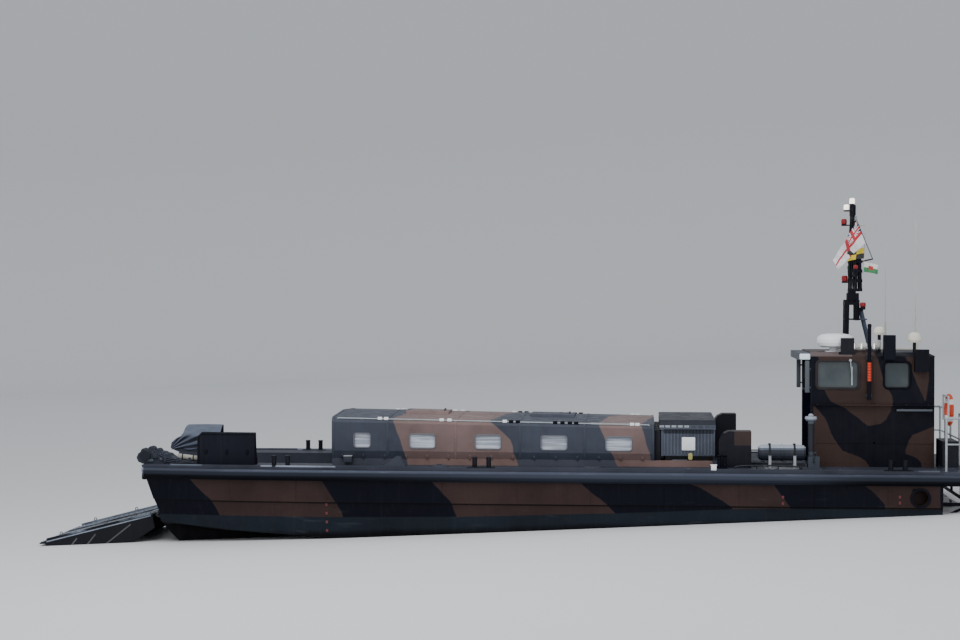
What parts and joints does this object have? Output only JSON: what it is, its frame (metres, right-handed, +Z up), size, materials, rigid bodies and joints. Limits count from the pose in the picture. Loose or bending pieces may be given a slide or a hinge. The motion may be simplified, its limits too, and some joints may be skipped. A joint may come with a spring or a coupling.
{
  "type": "landing craft vehicle and personnel",
  "caption": "Flat-bottomed landing craft with a lowered bow ramp, a covered troop well, an aft wheelhouse, a folding mast and steerable waterjets.",
  "frame": {"origin": "on the centreline near amidships, on the flat underside of the centre keel; the 15.7 m hull reaches from x -8.07 to 7.63 m", "axes": "+X runs aft towards the stern, +Y to starboard, +Z up"},
  "size_m": [17.8989, 4.2864, 6.83],
  "materials": {
    "hull_paint": "matt paint in wide black and brown bands, weathered",
    "bottom_paint": "matt anti-fouling paint",
    "deck_paint": "non-slip deck paint",
    "black_paint": "matt paint, weathered",
    "brown_paint": "matt paint in black and brown patches",
    "canopy_paint": "matt paint in dark grey and brown patches",
    "bare_metal": "dull marine alloy",
    "engine_paint": "semi-gloss engine paint",
    "raft_shell": "moulded shell, matt",
    "fender_rubber": "scuffed rubber",
    "window_glass": "clear, slightly grey",
    "console_plastic": "matt",
    "seat_cover": "woven cover",
    "cover_canvas": "heavy proofed canvas",
    "mat_cloth": "woven mat, rolled",
    "flag_cloth": "light bunting",
    "white_plastic": "gloss moulding",
    "aerial_plastic": "painted glass fibre",
    "orange_plastic": "rotomoulded shell"
  },
  "bodies": {
    "craft": {"hull": "hull_paint", "centre_keel": "bottom_paint", "stern_platform": "deck_paint", "jet_guard": "black_paint", "well_floor": "deck_paint", "bilge_keel_port": "bottom_paint", "bilge_keel_starboard": "bottom_paint", "rub_rail_port": "fender_rubber", "rub_rail_starboard": "fender_rubber", "toe_rail_port": "deck_paint", "toe_rail_starboard": "deck_paint", "bench_port": "seat_cover", "bench_starboard": "seat_cover", "ramp_gear_port": "black_paint", "ramp_gear_starboard": "black_paint", "bow_screen_port": "black_paint", "bow_screen_starboard": "black_paint", "canopy_glazing_port": "window_glass", "canopy_glazing_starboard": "window_glass", "engine_vent_port": "black_paint", "engine_vent_starboard": "black_paint", "wheelhouse_side_port": "brown_paint", "wheelhouse_side_starboard": "brown_paint", "waterjet_port": "bare_metal", "waterjet_starboard": "bare_metal", "screen_cover": "cover_canvas", "rolled_mat": "mat_cloth", "ramp_hinge": "bare_metal", "canopy_section_1": "canopy_paint", "canopy_section_2": "canopy_paint", "canopy_section_3": "canopy_paint", "canopy_section_4": "canopy_paint", "canopy_section_5": "canopy_paint", "canopy_frame": "brown_paint", "air_intake": "deck_paint", "engines": "engine_paint", "liferaft": "raft_shell", "liferaft_cradle": "bare_metal", "winch_post": "black_paint", "wheelhouse_front": "black_paint", "wheelhouse_back": "black_paint", "wheelhouse_glazing": "window_glass", "wheelhouse_roof": "brown_paint", "helm_console": "console_plastic", "helm_seats": "seat_cover", "mast_foot": "black_paint", "radar": "white_plastic", "whip_aerials": "aerial_plastic", "stern_rail": "bare_metal", "lifebuoy": "orange_plastic"},
    "ramp": {"ramp": "black_paint"},
    "mast": {"mast": "black_paint", "ensign": "flag_cloth"},
    "wheelhouse_door": {"wheelhouse_door": "black_paint"},
    "steering_nozzle_port": {"steering_nozzle_port": "bare_metal"},
    "steering_nozzle_starboard": {"steering_nozzle_starboard": "bare_metal"},
    "engine_hatch": {"engine_hatch": "deck_paint"},
    "canopy_hatch_forward": {"canopy_hatch_forward": "canopy_paint"},
    "canopy_hatch_aft": {"canopy_hatch_aft": "canopy_paint"}
  },
  "joints": [
    {"name": "ramp_hinge", "type": "hinge", "parent": "craft", "child": "ramp", "pos_m": [-7.92, 0, 0.67], "axis": [0, 1, 0], "range_deg": [0, 87]},
    {"name": "mast_fold", "type": "hinge", "parent": "craft", "child": "mast", "pos_m": [5.56, 0, 4.9], "axis": [0, 1, 0], "range_deg": [0, 90]},
    {"name": "wheelhouse_door_slide", "type": "slide", "parent": "craft", "child": "wheelhouse_door", "axis": [0, 1, 0], "range_m": [0, 0.6]},
    {"name": "steering_port", "type": "hinge", "parent": "craft", "child": "steering_nozzle_port", "pos_m": [7.26, -0.65, 0.78], "axis": [0, 0, 1], "range_deg": [-25, 25]},
    {"name": "steering_starboard", "type": "hinge", "parent": "craft", "child": "steering_nozzle_starboard", "pos_m": [7.26, 0.65, 0.78], "axis": [0, 0, 1], "range_deg": [-25, 25]},
    {"name": "engine_hatch_hinge", "type": "hinge", "parent": "craft", "child": "engine_hatch", "pos_m": [3.02, 0, 1.7003], "axis": [0, -1, 0], "range_deg": [0, 80]},
    {"name": "canopy_hatch_forward_hinge", "type": "hinge", "parent": "craft", "child": "canopy_hatch_forward", "pos_m": [-3.15, 0, 2.643], "axis": [0, -1, 0], "range_deg": [0, 80]},
    {"name": "canopy_hatch_aft_hinge", "type": "hinge", "parent": "craft", "child": "canopy_hatch_aft", "pos_m": [-0.68, 0, 2.598], "axis": [0, -1, 0], "range_deg": [0, 80]}
  ],
  "couplings": [
    {"joint": "steering_starboard", "follows": "steering_port", "ratio": 1}
  ]
}
